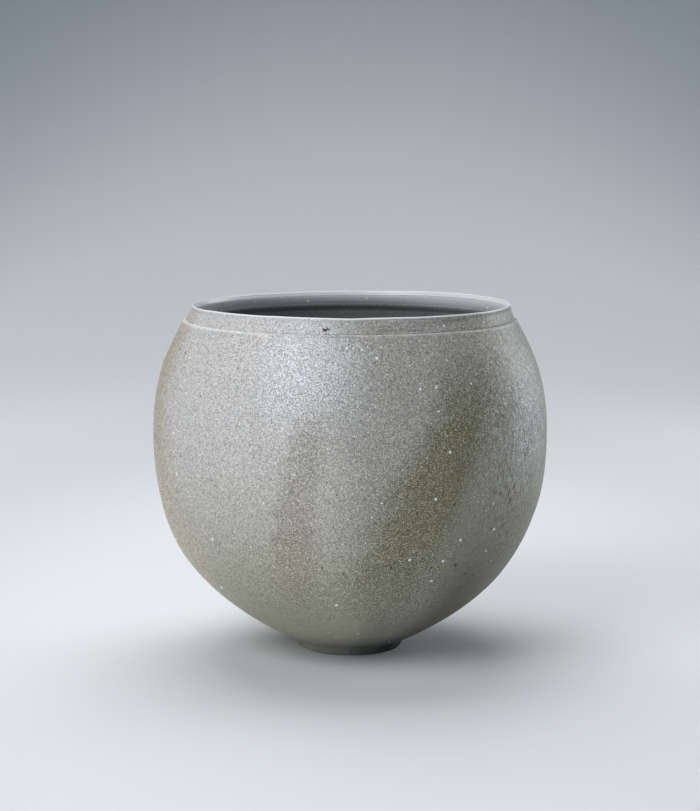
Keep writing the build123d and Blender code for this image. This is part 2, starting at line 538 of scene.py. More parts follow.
def lower_bowl_outline(shape, surface):
    """The bowl from the foot to the belly, open at the axis under the hollow and on the floor."""
    rough = surface.inner_step
    hollow_top = shape.foot_height + shape.hollow_rise
    hollow_slope = -2 * math.atan(shape.hollow_rise / shape.hollow_radius)
    hollow_edge = at(shape.hollow_radius, shape.foot_height)
    floor = hollow_top + shape.floor_thickness
    floor_rise = shape.foot_radius * math.tan(shape.floor_slope / 2)
    floor_edge = at(shape.foot_radius, floor + floor_rise)
    floor_fall = shape.floor_slope - HALF_TURN
    rim_edge = at(shape.belly_radius, shape.lower_rim)
    bead_bottom = shape.bead_middle - shape.bead_height / 2
    section = Outline(at(0, hollow_top))
    section.curve(0, EVEN_SWELL, End(hollow_edge, hollow_slope, EVEN_SWELL), rough)
    section.line(at(shape.foot_radius, shape.foot_height), rough)
    rim_end = End(rim_edge, UPRIGHT, LOWER_BELLY_SWELL)
    section.curve(shape.foot_slope, LOWER_FOOT_SWELL, rim_end, surface.outer_step)
    section.turn_inside()
    section.line(at(shape.belly_inner_radius, shape.lower_rim - shape.seam_drop), rough)
    section.line(at(shape.belly_inner_radius, bead_bottom - shape.bead_margin), rough)
    section.curve(-UPRIGHT, INSIDE_BELLY_SWELL, End(floor_edge, floor_fall, INSIDE_FLOOR_SWELL), rough)
    section.curve(floor_fall, EVEN_SWELL, End(at(0, floor), -HALF_TURN, EVEN_SWELL), rough)
    return section


def belly_slip_outline(shape, surface):
    """The bevelled film between the rims, with the bead wiped along it inside."""
    step = surface.outer_step
    edge = surface.edge_step
    bevel = at(shape.belly_wall, shape.seam_drop)
    outer_low = at(shape.belly_radius, shape.lower_rim)
    outer_high = at(shape.belly_radius, shape.upper_rim)
    bead_top = at(shape.belly_inner_radius, shape.bead_middle + shape.bead_height / 2)
    section = Outline(outer_low)
    section.line(outer_high, edge)
    section.turn_inside()
    section.line(outer_high - bevel, step)
    section.line(bead_top, step)
    section.arc(bead_top - at(0, shape.bead_height), shape.bead_depth, edge)
    section.line(outer_low - bevel, step)
    section.line(outer_low, step)
    return section.close()


def upper_bowl_outline(shape, surface):
    """The bowl from the belly to the ledge, with a rounded shoulder edge."""
    edge = surface.edge_step
    rough = surface.inner_step
    rounding = shape.shoulder_rounding
    bead_top = shape.bead_middle + shape.bead_height / 2
    rim_edge = at(shape.belly_radius, shape.upper_rim)
    band_edge = at(shape.belly_inner_radius, bead_top + shape.bead_margin)
    shoulder_edge = at(shape.shoulder_radius, shape.shoulder_height)
    shoulder_end = End(shoulder_edge, shape.shoulder_slope, UPPER_SHOULDER_SWELL)
    mouth_slope = shape.shoulder_slope - HALF_TURN
    section = Outline(rim_edge, shape.shoulder_height - LEDGE_WEAR, shape.collar_radius)
    section.curve(UPRIGHT, UPPER_BELLY_SWELL, shoulder_end, surface.outer_step)
    section.drop_last(2)  # to make room for the rounding
    section.line(shoulder_edge - heading(rounding, shape.shoulder_slope), edge)
    section.arc(shoulder_edge - at(rounding, 0), rounding / SHOULDER_EDGE_FLATNESS, edge)
    section.line(at(shape.collar_inner_radius, shape.shoulder_height), surface.outer_step)
    section.turn_inside()
    band_end = End(band_edge, -UPRIGHT, UPPER_BELLY_SWELL)
    section.curve(mouth_slope, UPPER_SHOULDER_SWELL, band_end, rough / 2)
    section.line(rim_edge - at(shape.belly_wall, shape.seam_drop), rough)
    section.line(rim_edge, rough)
    return section.close()


def collar_outline(shape, surface):
    """The low band on the shoulder, hollow outside and carrying on the lip's bevel inside."""
    fine = surface.edge_step * 2
    outer_base = at(shape.collar_radius, shape.collar_bottom)
    inner_base = at(shape.collar_inner_radius, shape.collar_bottom)
    inner_end = End(inner_base, shape.shoulder_slope - HALF_TURN, EVEN_SWELL)
    bevel_down = -UPRIGHT - math.atan(shape.lip_bevel / (shape.lip_top - shape.collar_top))
    section = Outline(outer_base)
    section.arc(at(shape.lip_radius, shape.collar_top), -shape.collar_hollow, fine)
    section.line(at(shape.lip_inner_radius, shape.collar_top), surface.outer_step)
    section.turn_inside()
    section.curve(bevel_down, EVEN_SWELL, inner_end, fine)
    section.line(outer_base, surface.outer_step)
    return section.close()


def lip_outline(shape, surface):
    """The thin strip along the top of the collar, bevelled inside and rounded over the top."""
    step = surface.edge_step
    crown_width = shape.lip_wall - shape.lip_bevel
    crown_height = shape.lip_top - crown_width / 2
    outer_base = at(shape.lip_radius, shape.collar_top)
    section = Outline(outer_base, shape.lip_top - LIP_WEAR)
    section.line(at(shape.lip_radius, crown_height), step)
    section.arc(at(shape.lip_radius - crown_width, crown_height), crown_width / 2, step)
    section.turn_inside()
    section.line(at(shape.lip_inner_radius, shape.collar_top), step)
    section.line(outer_base, surface.outer_step)
    return section.close()


# The tree that turns an outline

SCRAPED = Sector(64, 14, 16)
FURROW_STRETCH = 0.15
SWAY_HEIGHT = 115 * MM
SWAY_REACH = 60 * MM
STILL_ABOVE_FOOT = 50 * MM
WAVE_LENGTH = 150 * MM
SHORT_WAVE_LENGTH = 55 * MM
SHORT_WAVES = 0.5
TILT_AZIMUTH = 45 * DEGREE
SHARP_ANGLE = 32 * DEGREE
GRID_SIZE = 1.0
WELD = 0.01 * MM
FIT = 4 * MM

OUTLINE_FLAGS = ("inside", "worn_and_lit")
TURNING_LENGTHS = (
    "lump_size", "lump_height", "dent_size", "dent_depth", "furrow_width", "furrow_depth", "ring_pitch",
    "ring_depth", "lip_waver", "lip_tilt", "lip_sag", "lip_twist", "lip_pinch", "sway",
)


def title(name):
    return name.replace("_", " ").title()


def start_tree(name, inputs):
    """The graph of a Geometry Nodes tree that makes a piece, and its inputs by name."""
    tree = bpy.data.node_groups.new(name, "GeometryNodeTree")
    for label, kind in inputs.items():
        tree.interface.new_socket(label, in_out="INPUT", socket_type="NodeSocket" + kind)
    tree.interface.new_socket("Piece", in_out="OUTPUT", socket_type="NodeSocketGeometry")
    graph = Graph(tree)
    source = graph.node("NodeGroupInput")
    return graph, {socket.name: Field(graph, socket) for socket in source.outputs if socket.name}


def turn_outline(graph, given):
    """A grid whose columns go round the axis and whose rows are the outline's points."""
    section = given["Outline"]
    stations = graph.field("GeometryNodeAttributeDomainSize", "Point Count", {"Geometry": section})
    rows = stations + given["Closed"]
    size = {"Size X": GRID_SIZE, "Size Y": GRID_SIZE}
    size.update({"Vertices X": given["Segments"] + 1.0, "Vertices Y": rows})
    flagged = graph.field("GeometryNodeMeshGrid", "Mesh", size)
    across, up, _ = graph.separate(graph.position())
    row = graph.math("ROUND", (up + GRID_SIZE / 2) * (rows - 1.0))
    station = graph.math("MODULO", row, stations)
    azimuth = across * FULL_TURN

    def sampled(kind, value):
        inputs = {"Geometry": section, "Value": value, "Index": station}
        return graph.field("GeometryNodeSampleIndex", "Value", inputs, data_type=kind)

    for flag in OUTLINE_FLAGS:
        stored = {"Name": flag, "Value": sampled("FLOAT", graph.attribute(flag))}
        flagged = graph.reshape("StoreNamedAttribute", flagged, stored, data_type="FLOAT")
    radius, _, height = graph.separate(sampled("FLOAT_VECTOR", graph.position()))
    right = radius * graph.math("SINE", azimuth)
    back = radius * graph.math("COSINE", azimuth) * -1.0
    turned = graph.reshape("SetPosition", flagged, {"Position": graph.combine(right, back, height)})
    return graph.reshape("MergeByDistance", turned, {"Distance": WELD})


def hand_offset(graph, given, shape):
    """How far hands and tools moved the wall at a point, the same on both faces of it."""
    x, y, z = graph.separate(graph.position())
    azimuth = graph.around(x, y)
    sine = graph.math("SINE", azimuth)
    cosine = graph.math("COSINE", azimuth)
    girth_x = sine * shape.belly_radius + given["Seed"]
    girth_y = cosine * shape.belly_radius
    on_girth = graph.combine(girth_x, girth_y, z)
    along_strokes = graph.combine(girth_x, girth_y, z * FURROW_STRETCH)
    lumps = graph.noise(on_girth, given["Lump Size"])
    dents = graph.noise(on_girth, given["Dent Size"])
    furrows = graph.noise(along_strokes, given["Furrow Width"])
    rings = graph.math("SINE", z * FULL_TURN / given["Ring Pitch"] + lumps)
    outward = lumps * given["Lump Height"] + dents * given["Dent Depth"]
    outward = outward + furrows * given["Furrow Depth"] * graph.sector(azimuth, SCRAPED)
    outward = outward + rings * given["Ring Depth"] * graph.attribute("inside")
    outward = outward * graph.rise(z, shape.foot_height, shape.foot_height + STILL_ABOVE_FOOT)
    on_lip = graph.rise(z, shape.shoulder_height, shape.lip_top)
    pressed = graph.rise(sine, 0.0, -1.0) * on_lip
    outward = outward - pressed * given["Lip Pinch"]
    leaning = graph.band(z - SWAY_HEIGHT, 0.0, SWAY_REACH) * given["Sway"]
    girth = graph.combine(girth_x, girth_y, 0.0)
    waves = graph.noise(girth, WAVE_LENGTH) + graph.noise(girth, SHORT_WAVE_LENGTH) * SHORT_WAVES
    tilt = graph.math("COSINE", azimuth - TILT_AZIMUTH) * given["Lip Tilt"]
    twist = sine * cosine * 2.0 * given["Lip Twist"]
    lift = (waves * given["Lip Waver"] + tilt - twist - given["Lip Sag"]) * on_lip
    return graph.combine(sine * outward - leaning, cosine * outward * -1.0, lift)


def shade_clay(graph, geometry):
    """Smooth faces with sharp corners."""
    smooth = graph.reshape("SetShadeSmooth", geometry, {"Shade Smooth": True})
    fold = graph.field("GeometryNodeInputMeshEdgeAngle", "Unsigned Angle")
    corners = {"Selection": graph.math("GREATER_THAN", fold, SHARP_ANGLE), "Shade Smooth": False}
    return graph.reshape("SetShadeSmooth", smooth, corners, domain="EDGE")


def turning_tree(shape):
    """Geometry Nodes that turn an outline into uneven, hand-finished clay."""
    inputs = {"Outline": "Geometry", "Clay": "Material"}
    inputs.update({name: "Int" for name in ("Closed", "Segments", "Seed")})
    inputs.update({title(name): "Float" for name in TURNING_LENGTHS})
    graph, given = start_tree("Turned Clay", inputs)
    turned = turn_outline(graph, given)
    shaped = graph.reshape("SetPosition", turned, {"Offset": hand_offset(graph, given, shape)})
    graph.node("NodeGroupOutput", {"Piece": graph.dress(shade_clay(graph, shaped), given["Clay"])})
    return graph.tree


def store(mesh, name, values, kind="FLOAT", field="value"):
    mesh.attributes.new(name, kind, "POINT").data.foreach_set(field, values)


def grown(context, name, mesh, tree, inputs):
    """The plain mesh object that a tree makes of a mesh."""
    piece = bpy.data.objects.new(name, mesh)
    context.scene.collection.objects.link(piece)
    modifier = piece.modifiers.new(tree.name, "NODES")
    modifier.node_group = tree
    for item in tree.interface.items_tree:
        if item.in_out == "INPUT" and item.name in inputs:
            modifier[item.identifier] = inputs[item.name]
    depsgraph = context.evaluated_depsgraph_get()
    result = bpy.data.meshes.new_from_object(piece.evaluated_get(depsgraph), depsgraph=depsgraph)
    piece.modifiers.remove(modifier)
    piece.data = result
    bpy.data.meshes.remove(mesh)
    result.name = name
    result.materials.pop(index=0)  # the empty slot that a tree leaves before its own material
    return piece


def check_fit(piece, node):
    """Stops the script if a piece has left the CAD node that it stands for."""
    corners = [Vector(corner) for corner in piece.bound_box]
    lowest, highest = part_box(node)
    for axis in range(3):
        low = min(corner[axis] for corner in corners)
        high = max(corner[axis] for corner in corners)
        if abs(low - lowest[axis]) > FIT or abs(high - highest[axis]) > FIT:
            raise RuntimeError(f"{piece.name} spans {low:.4f} to {high:.4f}, away from its node {node}")


def turn_piece(context, name, node, outline_of, finish):
    """One piece of the jar, turned from its outline in place of its CAD node."""
    scene = context.scene
    surface = scene.clay_surface
    section = outline_of(scene.jar_shape, surface)
    mesh = bpy.data.meshes.new(name)
    mesh.from_pydata([(point.x, 0.0, point.y) for point in section.points], [], [])
    for flag in OUTLINE_FLAGS:
        store(mesh, flag, getattr(section, flag))
    clay = bpy.data.materials.get(finish) or stoneware(finish, scene)
    tree = bpy.data.node_groups.get("Turned Clay") or turning_tree(scene.jar_shape)
    inputs = {title(key): getattr(surface, key) for key in TURNING_LENGTHS}
    inputs.update(Closed=int(section.closed), Segments=surface.segments, Seed=surface.seed, Clay=clay)
    piece = grown(context, name, mesh, tree, inputs)
    check_fit(piece, node)
    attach(piece, "root")
    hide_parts(node)


# Fired clay

Finish = namedtuple("Finish", "slot wear patch crust rough")
FINISHES = {
    "Ash Crust": Finish("body_stoneware", 0.3, 0.25, 1.0, 0.4),
    "Foot Clay": Finish("foot_stoneware", 0.0, 0.0, 0.5, 0.45),
    "Collar Crust": Finish("collar_stoneware", 0.0, 0.0, 0.9, 0.4),
    # The lip's pale colour is partly a painted highlight.
    "Worn Lip With Painted Highlight": Finish("lip_stoneware", 1.0, 0.0, 0.7, 0.2),
    "Luting Slip": Finish("luting_slip", 0.0, 0.0, 1.0, 0.4),
}

# Runs of ash, which drift sideways as they go down the wall, by angles in degrees and heights
# in mm, with a painted reflection and a painted highlight among them. The first five show in
# the photograph.
ColourRun = namedtuple(
    "ColourRun", "colour low_azimuth high_azimuth half_width softness bottom top fade strength"
)
ASH_AND_SHEEN_RUNS = (
    ColourRun("umber", -22, -6, 1.5, 7, 30, 335, 115, 0.53),
    ColourRun("olive", 6, 43, 4, 14, 45, 352, 110, 1.0),
    # Not ash: a painted reflection of the lights behind, on the right edge.
    ColourRun("edge_reflection", 60, 65, 5, 13, 155, 345, 80, 0.95),
    ColourRun("ochre", -74, -86, 6, 23, 30, 400, 90, 1.0),
    # Not ash: a painted highlight of the key light on the shoulder.
    ColourRun("sheen", -12, -12, 4, 18, 235, 365, 60, 0.55),
    ColourRun("umber", 98, 111, 4, 10, 60, 310, 70, 0.5),
    ColourRun("olive", 138, 157, 7, 14, 40, 340, 100, 0.9),
    ColourRun("umber", -122, -141, 6, 12, 70, 290, 70, 0.5),
)
RUN_LOW_HEIGHT = 55 * MM
RUN_HIGH_HEIGHT = 330 * MM
RUN_PATCHES = 0.25

# Where the clay starts to change and where it has changed, by angle from the fire or by height
LILAC_TO_SLATE = (53 * DEGREE, 75 * DEGREE)
SLATE_TO_DUSK = (92 * DEGREE, 122 * DEGREE)
CRUST_TO_CALM = (80 * DEGREE, 102 * DEGREE)
UPPER_TO_LOWER_ASH = (275 * MM, 75 * MM)
CRUST_TO_SMOOTH_FOOT = (85 * MM, 35 * MM)
ASH_TO_FOOT_TINT = (34 * MM, 8 * MM)

FIRE_AZIMUTH = -70 * DEGREE
LOWER_TURN = 12 * DEGREE
# Painted shade: the foot darkens more towards the side away from the key light.
FOOT_SHADE_LEE = 100 * DEGREE
FOOT_SHADE_LEAST = 0.25

DRIFT_SIZE = 60 * MM
DRIFT_TURN = 3 * DEGREE
MOTTLE_SIZE = 14 * MM
MOTTLE_TURN = 2 * DEGREE
SMOOTHEST = 0.6
CREAM_DRAW = 0.8
CHAR_DRAW = 0.24
DRAW_EDGE = 0.05
CREAM_DRIFT = 0.07
RUN_CREAM = 0.6
CALM_SHARE = 0.95
GRAIN_TONE = 0.8
RUN_TONE = 1.2

STREAK_WIDTH = 1.9 * MM
STREAK_STRETCH = 0.24
STREAK_TONE = 0.65
FAINT_STREAKS = 0.1
WIPED = Sector(26, 12, 14)
WIPE_PITCH = 1.3 * MM
WIPE_STRETCH = 3 * MM
WIPE_TONE = 0.5
LEDGE_SHADOWED = Sector(15, 15, 15)
FAINT_WEAR = Sector(-14, 10, 8)
FIRE_WEAR_REACH = 60 * DEGREE
INSIDE_DARK = 19 * MM
# Painted light: how much further down the pale reaches inside on the left and right.
INSIDE_PAINTED_LIGHT_SPREAD = 25 * MM
INSIDE_CALM = 0.8
ROUGHNESS_SWING = 0.04

# Level lines below the shoulder's ledge, in mm
LedgeLine = namedtuple("LedgeLine", "drop half_width softness tone")
# Painted shadow: a thin dark line under the ledge's edge, on the front right.
LEDGE_SHADOW = LedgeLine(1.5, 0.25, 0.6, tone=0.35)
JOINT = LedgeLine(4.2, 1.3, 2.5, tone=0.6)


def new_material(name):
    """A material without nodes, and its graph."""
    material = bpy.data.materials.new(name)
    material.use_nodes = True
    material.node_tree.nodes.clear()
    return material, Graph(material.node_tree)


def finished(graph, material, skin):
    """The material with a Principled shader that has these inputs."""
    shader = graph.node("ShaderNodeBsdfPrincipled", skin)
    surface_out = graph.node("ShaderNodeOutputMaterial")
    graph.tree.links.new(shader.outputs["BSDF"], surface_out.inputs["Surface"])
    return material


def clay_ground(graph, colours, lee, low):
    """Thin ash over clay, pale towards the fire and darker away from it, and greener low down."""
    slate = graph.rise(lee, *LILAC_TO_SLATE)
    dusk = graph.rise(lee, *SLATE_TO_DUSK)
    colour = graph.mix(slate, tone(colours.lilac_grey), tone(colours.slate_grey))
    colour = graph.mix(dusk, colour, tone(colours.dusk_grey))
    return graph.mix(low, colour, tone(colours.lower_ash), "MULTIPLY")


def ash_and_sheen_runs(graph, colours, colour, azimuth, z, mottle):
    """The colour with the ash runs and the painted highlight and reflection over it, and their strength,
    0 to 1.
    """
    thickest = 0.0
    for run in ASH_AND_SHEEN_RUNS:
        bottom = run.bottom * MM
        top = run.top * MM
        fade = run.fade * MM
        drift = run.low_azimuth * DEGREE, run.high_azimuth * DEGREE
        middle = graph.ramp(z, RUN_LOW_HEIGHT, RUN_HIGH_HEIGHT, *drift)
        band = graph.band(azimuth - middle, run.half_width * DEGREE, run.softness * DEGREE)
        ends = graph.rise(z, bottom, bottom + fade) * graph.rise(z, top, top - fade)
        patches = mottle * RUN_PATCHES + 1.0
        amount = graph.math("MINIMUM", band * ends * patches * run.strength, 1.0)
        colour = graph.mix(amount, colour, tone(getattr(colours, run.colour)))
        thickest = graph.math("MAXIMUM", amount, thickest)
    return colour, thickest


def inside_colour(graph, colours, shape, azimuth, z):
    """Pale clay below the lip, with painted sheen at the back and painted light reaching lower at the
    sides.
    """
    sine = graph.math("SINE", azimuth)
    reach = sine * sine * INSIDE_PAINTED_LIGHT_SPREAD + INSIDE_DARK
    pale = graph.rise((shape.lip_top - z) / reach, 1.0, 0.0)
    # A bluish painted sheen at the back and pale clay with painted light at the sides.
    crust = graph.mix(sine * sine, tone(colours.sheen), tone(colours.worn_and_lit))
    return graph.mix(pale, tone(colours.inside), crust)


def ledge_line(graph, shape, z, line):
    away = z - (shape.shoulder_height - line.drop * MM)
    return graph.band(away, line.half_width * MM, line.softness * MM)


def tool_marks(graph, shape, azimuth, x, y, z):
    """How much lighter or darker scraping and wiping make the clay, with a painted shadow line under the
    ledge.
    """
    streaks = graph.noise(graph.combine(x, y, z * STREAK_STRETCH), STREAK_WIDTH)
    scraped = graph.sector(azimuth, SCRAPED) * STREAK_TONE + FAINT_STREAKS
    lines = graph.noise(graph.combine(azimuth * WIPE_STRETCH, 0.0, z), WIPE_PITCH)
    on_collar = graph.rise(z, shape.shoulder_height, shape.collar_bottom)
    wiped = graph.sector(azimuth, WIPED) * on_collar
    # A painted shadow line under the ledge.
    ledge_shadow = ledge_line(graph, shape, z, LEDGE_SHADOW) * graph.sector(azimuth, LEDGE_SHADOWED)
    return streaks * scraped + wiped * lines * WIPE_TONE - ledge_shadow * LEDGE_SHADOW.tone


def stoneware(name, scene):
    """Fired clay under ash, in one of the finishes, with painted highlights, reflection and shade."""
    finish = FINISHES[name]
    colours = scene.clay_colours
    surface = scene.clay_surface
    shape = scene.jar_shape
    material, graph = new_material(name)
    place = graph.field("ShaderNodeTexCoord", "Object")
    x, y, z = graph.separate(place)
    mottle = graph.noise(place, MOTTLE_SIZE)
    azimuth = graph.around(x, y) + graph.noise(place, DRIFT_SIZE) * DRIFT_TURN + mottle * MOTTLE_TURN
    low = graph.rise(z, *UPPER_TO_LOWER_ASH)
    from_fire = graph.math("ARCCOSINE", graph.math("COSINE", azimuth - FIRE_AZIMUTH))
    lee = from_fire - low * LOWER_TURN
    smooth = graph.rise(z, *CRUST_TO_SMOOTH_FOOT) * SMOOTHEST
    inside = graph.field("ShaderNodeAttribute", "Fac", attribute_name="inside")
    worn_and_lit = graph.field("ShaderNodeAttribute", "Fac", attribute_name="worn_and_lit")

    colour = clay_ground(graph, colours, lee, low)
    # The runs carry a painted highlight and a painted reflection besides the ash.
    colour, ash = ash_and_sheen_runs(graph, colours, colour, azimuth, z, mottle)
    calm = graph.rise(lee, *CRUST_TO_CALM) * low
    colour = graph.mix(calm * low, colour, tone(colours.lee_shade), "MULTIPLY")
    # Greener and darker towards the ground; the extra darkening away from the key light is painted
    # shade.
    foot = graph.rise(z, *ASH_TO_FOOT_TINT)
    foot = foot * graph.ramp(lee, 0.0, FOOT_SHADE_LEE, FOOT_SHADE_LEAST, 1.0)
    colour = graph.mix(foot, colour, tone(colours.foot_green_and_shade), "MULTIPLY")
    colour = graph.mix(inside, colour, inside_colour(graph, colours, shape, azimuth, z))

    grainy = (1.0 - smooth) * (1.0 - calm * CALM_SHARE) * (1.0 - inside * INSIDE_CALM) * finish.crust
    draw, tint, from_middle = graph.cells(place, surface.grain_size)
    cream = graph.rise(draw + mottle * CREAM_DRIFT, CREAM_DRAW, CREAM_DRAW + DRAW_EDGE)
    cream = cream * (1.0 - ash * (1 - RUN_CREAM)) * grainy
    char = graph.rise(draw, CHAR_DRAW, CHAR_DRAW - DRAW_EDGE) * grainy
    colour = graph.mix(cream * surface.cream_share, colour, tone(colours.cream))
    colour = graph.mix(char * surface.char_share, colour, tone(colours.char))
    grain = (tint - graph.MIDDLE_DRAW) * grainy * (ash * RUN_TONE + GRAIN_TONE)
    marks = tool_marks(graph, shape, azimuth, x, y, z) * (1.0 - inside)
    colour = graph.scaled(colour, grain + marks + 1.0)
    joint = ledge_line(graph, shape, z, JOINT) * inside
    colour = graph.scaled(colour, 1.0 - joint * JOINT.tone)

    # Pale clay on the lip and the ledge, partly a painted highlight where these edges catch the light.
    faint = graph.sector(azimuth, FAINT_WEAR) * graph.rise(z, shape.collar_top, shape.collar_bottom)
    fire_side = graph.rise(from_fire, FIRE_WEAR_REACH, 0.0) * finish.patch
    pale = worn_and_lit * (mottle * finish.patch + fire_side + finish.wear) * (1.0 - faint)
    colour = graph.mix(pale, colour, tone(colours.worn_and_lit))

    relief = (draw - from_middle) * (1.0 - smooth)
    bumped = {"Height": relief, "Distance": surface.crust_depth * finish.crust}
    bump = graph.field("ShaderNodeBump", "Normal", bumped)
    roughness = mottle * ROUGHNESS_SWING + finish.rough
    return finished(graph, material, {"Base Color": colour, "Roughness": roughness, "Normal": bump})


# Grains in the clay

Grain = namedtuple("Grain", "azimuth height width length turn inside")

# White grains and dark spots that stand out in the photograph, by azimuth in degrees and height in mm
WHITE_OUTSIDE = (
    (-8.5, 325), (-1, 326), (1, 326), (3.5, 324.5), (8, 317), (20, 288), (25, 289), (25, 267), (37, 290),
    (28, 228), (24, 184), (44.5, 172), (47, 145), (18, 124), (29.5, 119.5), (27.5, 98.5), (34, 140),
    (46.5, 123), (34, 15.5), (-59.5, 235), (-58, 195), (-45, 136), (-56, 78), (-73.5, 120), (-5, 75),
)
WHITE_INSIDE = ((-163.5, 341), (-137.5, 346), (-140, 343), (173.5, 344), (116, 341))
DARK_OUTSIDE = ((-62.5, 312), (30, 177), (35, 113), (41, 101), (46, 96.5), (19, 108.5))
COLLAR_CHIP = Grain(
    33 * DEGREE, height=343.3 * MM, width=1.3 * MM, length=1.7 * MM, turn=0.6, inside=False
)
SPRAY_AZIMUTH = -8 * DEGREE
SPRAY_HEIGHT = 341.5 * MM
SPRAY_SPREAD = 1.8 * MM
SPRAY_COUNT = 20

# Short dark gouges: azimuth in degrees, height and length in mm, and lean in degrees
GOUGES = (
    (51, 180, 9, -12), (52, 172, 9, -30), (53.5, 185.5, 8, -10), (58.5, 214, 5, 10), (47, 181.5, 3, 0),
    (45.5, 147, 4, 15), (51, 147.5, 5, -10), (53, 126.5, 4, 20), (-8.5, 117, 4, 0), (-2, 111, 4, 0),
    (5, 114, 3, 5), (12.5, 116.5, 4, 0), (26, 113.5, 4, -5),
)
GOUGE_WIDTH = 0.9 * MM
GRAIN_FLATNESS = 0.45
LEAST_GRAIN = 0.5 * MM
LARGEST_GRAIN = 0.9 * MM
LEAST_CHIP = 1.1 * MM
LARGEST_CHIP = 1.8 * MM
LONGEST_SHAPE = 1.5
SCATTER_BOTTOM = 14 * MM
CAST_RADIUS = 300 * MM
MINERAL_CLOUD = 0.1
MINERAL_ROUGHNESS = 0.35
TURNED_PIECES = (
    "jar_foot", "jar_foot_slip", "jar_lower_bowl", "jar_belly_slip",
    "jar_upper_bowl", "jar_collar_slip", "jar_collar", "jar_lip",
)


def grain_tree():
    """Geometry Nodes that set a faceted grain at each point, turned to face out of the wall."""
    graph, given = start_tree("Embedded Grains", {"Spots": "Geometry", "Mineral": "Material"})
    up = (0.0, 0.0, 1.0)
    align = "FunctionNodeAlignRotationToVector"
    facing = {"Vector": graph.attribute("facing", "FLOAT_VECTOR")}
    outward = graph.field(align, "Rotation", facing, axis="Z")
    rising = {"Rotation": outward, "Vector": up}
    upright = graph.field(align, "Rotation", rising, axis="Y", pivot_axis="Z")
    spin = {"Axis": up, "Angle": graph.attribute("turn")}
    lean = graph.field("FunctionNodeAxisAngleToRotation", "Rotation", spin)
    leaning = {"Rotation": upright, "Rotate By": lean}
    turned = graph.field("FunctionNodeRotateRotation", "Rotation", leaning, rotation_space="LOCAL")
    placed = {
        "Points": given["Spots"],
        "Instance": graph.field("GeometryNodeMeshIcoSphere", "Mesh", {"Radius": 1.0, "Subdivisions": 1}),
        "Rotation": turned,
        "Scale": graph.attribute("reach", "FLOAT_VECTOR"),
    }
    grains = graph.field("GeometryNodeInstanceOnPoints", "Instances", placed)
    graph.node("NodeGroupOutput", {"Piece": graph.dress(grains, given["Mineral"])})
    return graph.tree


def clay_walls():
    """The turned pieces as one surface that rays can be cast at."""
    corners, faces = [], []
    for name in TURNED_PIECES:
        mesh = bpy.data.objects[name].data
        first = len(corners)
        corners.extend(vertex.co.copy() for vertex in mesh.vertices)
        faces.extend([first + corner for corner in face.vertices] for face in mesh.polygons)
    return BVHTree.FromPolygons(corners, faces)


def seat(walls, grain):
    """Where a grain sits in the wall, and which way the wall faces there."""
    out = Vector((math.sin(grain.azimuth), -math.cos(grain.azimuth), 0.0))
    axis = Vector((0.0, 0.0, grain.height))
    if grain.inside:
        place, normal, _, _ = walls.ray_cast(axis, out)
    else:
        place, normal, _, _ = walls.ray_cast(axis + out * CAST_RADIUS, -out)
    if place is None:
        raise RuntimeError(f"No wall at azimuth {grain.azimuth:.2f}, height {grain.height:.4f}")
    return place, normal


def crumb(draw, azimuth, height, inside=False, least=LEAST_GRAIN, largest=LARGEST_GRAIN):
    """A grain of random size and turn at a place."""
    width = draw.uniform(least, largest)
    long = width * draw.uniform(1.0, LONGEST_SHAPE)
    return Grain(azimuth, height, width, long, draw.uniform(0.0, FULL_TURN), inside)


def chips(draw, places, inside=False):
    """Large grains at the given places."""
    sizes = LEAST_CHIP, LARGEST_CHIP
    return [crumb(draw, degrees * DEGREE, height * MM, inside, *sizes) for degrees, height in places]


def scattered(draw, shape, number):
    """Grains spread evenly over the outside, from the foot to the lip."""
    grains = []
    for _ in range(number):
        azimuth = draw.uniform(-math.pi, math.pi)
        grains.append(crumb(draw, azimuth, draw.uniform(SCATTER_BOTTOM, shape.collar_top)))
    return grains


def feldspar_grains(shape, surface):
    draw = random.Random(surface.seed)
    grains = chips(draw, WHITE_OUTSIDE) + chips(draw, WHITE_INSIDE, inside=True)
    return grains + [COLLAR_CHIP] + scattered(draw, shape, surface.feldspar_count)


def iron_grains(shape, surface):
    draw = random.Random(surface.seed + 1)
    grains = chips(draw, DARK_OUTSIDE)
    for _ in range(SPRAY_COUNT):
        azimuth = SPRAY_AZIMUTH + draw.gauss(0.0, SPRAY_SPREAD) / shape.collar_radius
        grains.append(crumb(draw, azimuth, SPRAY_HEIGHT + draw.gauss(0.0, SPRAY_SPREAD / 2)))
    for degrees, height, long, lean in GOUGES:
        size = GOUGE_WIDTH, long * MM / 2
        grains.append(Grain(degrees * DEGREE, height * MM, *size, lean * DEGREE, inside=False))
    return grains + scattered(draw, shape, surface.iron_count)


def mineral(name, colour):
    """A grain's own colour, a little cloudy."""
    material, graph = new_material(name)
    cloud = graph.noise(graph.field("ShaderNodeTexCoord", "Object"), LARGEST_GRAIN) * MINERAL_CLOUD
    shade = graph.scaled(tuple(colour), cloud + 1.0)
    return finished(graph, material, {"Base Color": shade, "Roughness": cloud + MINERAL_ROUGHNESS})


def set_grains(context, name, grains, stuff):
    """One piece of all the grains of a mineral, each set into the wall."""
    walls = clay_walls()
    seats = [seat(walls, grain) for grain in grains]
    mesh = bpy.data.meshes.new(name)
    mesh.from_pydata([place for place, _ in seats], [], [])
    reach = [(grain.width, grain.length, grain.width * GRAIN_FLATNESS) for grain in grains]
    store(mesh, "facing", [axis for _, normal in seats for axis in normal], "FLOAT_VECTOR", "vector")
    store(mesh, "reach", [side for sides in reach for side in sides], "FLOAT_VECTOR", "vector")
    store(mesh, "turn", [grain.turn for grain in grains])
    tree = bpy.data.node_groups.get("Embedded Grains") or grain_tree()
    piece = grown(context, name, mesh, tree, {"Mineral": stuff})
    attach(piece, "root")


# Operators


